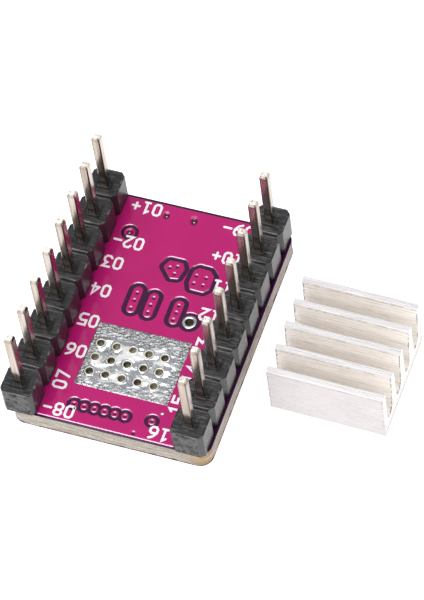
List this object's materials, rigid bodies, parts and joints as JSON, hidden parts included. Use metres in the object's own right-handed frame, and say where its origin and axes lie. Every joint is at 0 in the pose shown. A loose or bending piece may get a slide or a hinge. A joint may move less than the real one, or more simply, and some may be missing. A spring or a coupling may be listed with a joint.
{
  "type": "stepper driver module",
  "caption": "Plug-in stepper motor driver board with two rows of header pins, bare thermal pad and current-limit trimmer, with a loose finned heat sink.",
  "frame": {"origin": "centre of the pin grid, in the plane of the header housings' top faces", "axes": "+Z along the free pins, +X to the control-side header, +Y to the motor-supply end; the part lies component side down"},
  "size_m": [0.0263, 0.02, 0.0112],
  "materials": {
    "fr4": "routed glass-fibre laminate edge",
    "solder_mask": "glossy lacquer, magenta over copper",
    "solder": "tin solder, uneven and bright",
    "header_plastic": "satin moulded plastic",
    "pin_metal": "bright tin plating over brass",
    "chip_epoxy": "fine matt moulding compound",
    "lead_metal": "matt tin plating",
    "trimmer_ceramic": "unglazed ceramic",
    "rotor_metal": "stamped plated metal",
    "resistor_film": "black glaze over ceramic",
    "capacitor_ceramic": "fired brown ceramic",
    "heatsink_aluminium": "bright extruded aluminium, fine lines along the fins",
    "thermal_tape": "soft matt adhesive tape"
  },
  "bodies": {
    "board": {"bypass_capacitor": "capacitor_ceramic", "bypass_capacitor_terminals": "solder", "charge_pump_capacitor": "capacitor_ceramic", "charge_pump_capacitor_terminals": "solder", "circuit_board": "fr4", "component_pads": "solder", "divider_resistor": "resistor_film", "divider_resistor_terminals": "solder", "driver_chip_body": "chip_epoxy", "driver_chip_leads": "lead_metal", "driver_chip_slug": "lead_metal", "fault_resistor": "resistor_film", "fault_resistor_terminals": "solder", "header_housing_left": "header_plastic", "header_housing_right": "header_plastic", "header_pin_01": "pin_metal", "header_pin_02": "pin_metal", "header_pin_03": "pin_metal", "header_pin_04": "pin_metal", "header_pin_05": "pin_metal", "header_pin_06": "pin_metal", "header_pin_07": "pin_metal", "header_pin_08": "pin_metal", "header_pin_09": "pin_metal", "header_pin_10": "pin_metal", "header_pin_11": "pin_metal", "header_pin_12": "pin_metal", "header_pin_13": "pin_metal", "header_pin_14": "pin_metal", "header_pin_15": "pin_metal", "header_pin_16": "pin_metal", "regulator_capacitor": "capacitor_ceramic", "regulator_capacitor_terminals": "solder", "reservoir_capacitor": "capacitor_ceramic", "reservoir_capacitor_terminals": "solder", "sense_resistor_1": "resistor_film", "sense_resistor_1_terminals": "solder", "sense_resistor_2": "resistor_film", "sense_resistor_2_terminals": "solder", "sleep_resistor": "resistor_film", "sleep_resistor_terminals": "solder", "solder_joints_left": "solder", "solder_joints_right": "solder", "solder_mask_component_side": "solder_mask", "solder_mask_pin_side": "solder_mask", "supply_capacitor_1": "capacitor_ceramic", "supply_capacitor_1_terminals": "solder", "supply_capacitor_2": "capacitor_ceramic", "supply_capacitor_2_terminals": "solder", "test_hole_barrel": "solder", "thermal_pad": "solder", "trimmer_base": "trimmer_ceramic", "trimmer_terminals": "solder"},
    "trimmer_rotor": {"trimmer_rotor": "rotor_metal"},
    "loose_heatsink": {"heatsink": "heatsink_aluminium", "heatsink_tape": "thermal_tape"}
  },
  "joints": [
    {"name": "trimmer_turn", "type": "hinge", "parent": "board", "child": "trimmer_rotor", "pos_m": [0.003, 0.007, -0.0049], "axis": [0, 0, 1], "range_deg": [-120, 120]},
    {"name": "heatsink_lift", "type": "slide", "parent": "board", "child": "loose_heatsink", "axis": [0, 0, 1], "range_m": [0, 0.015]}
  ]
}
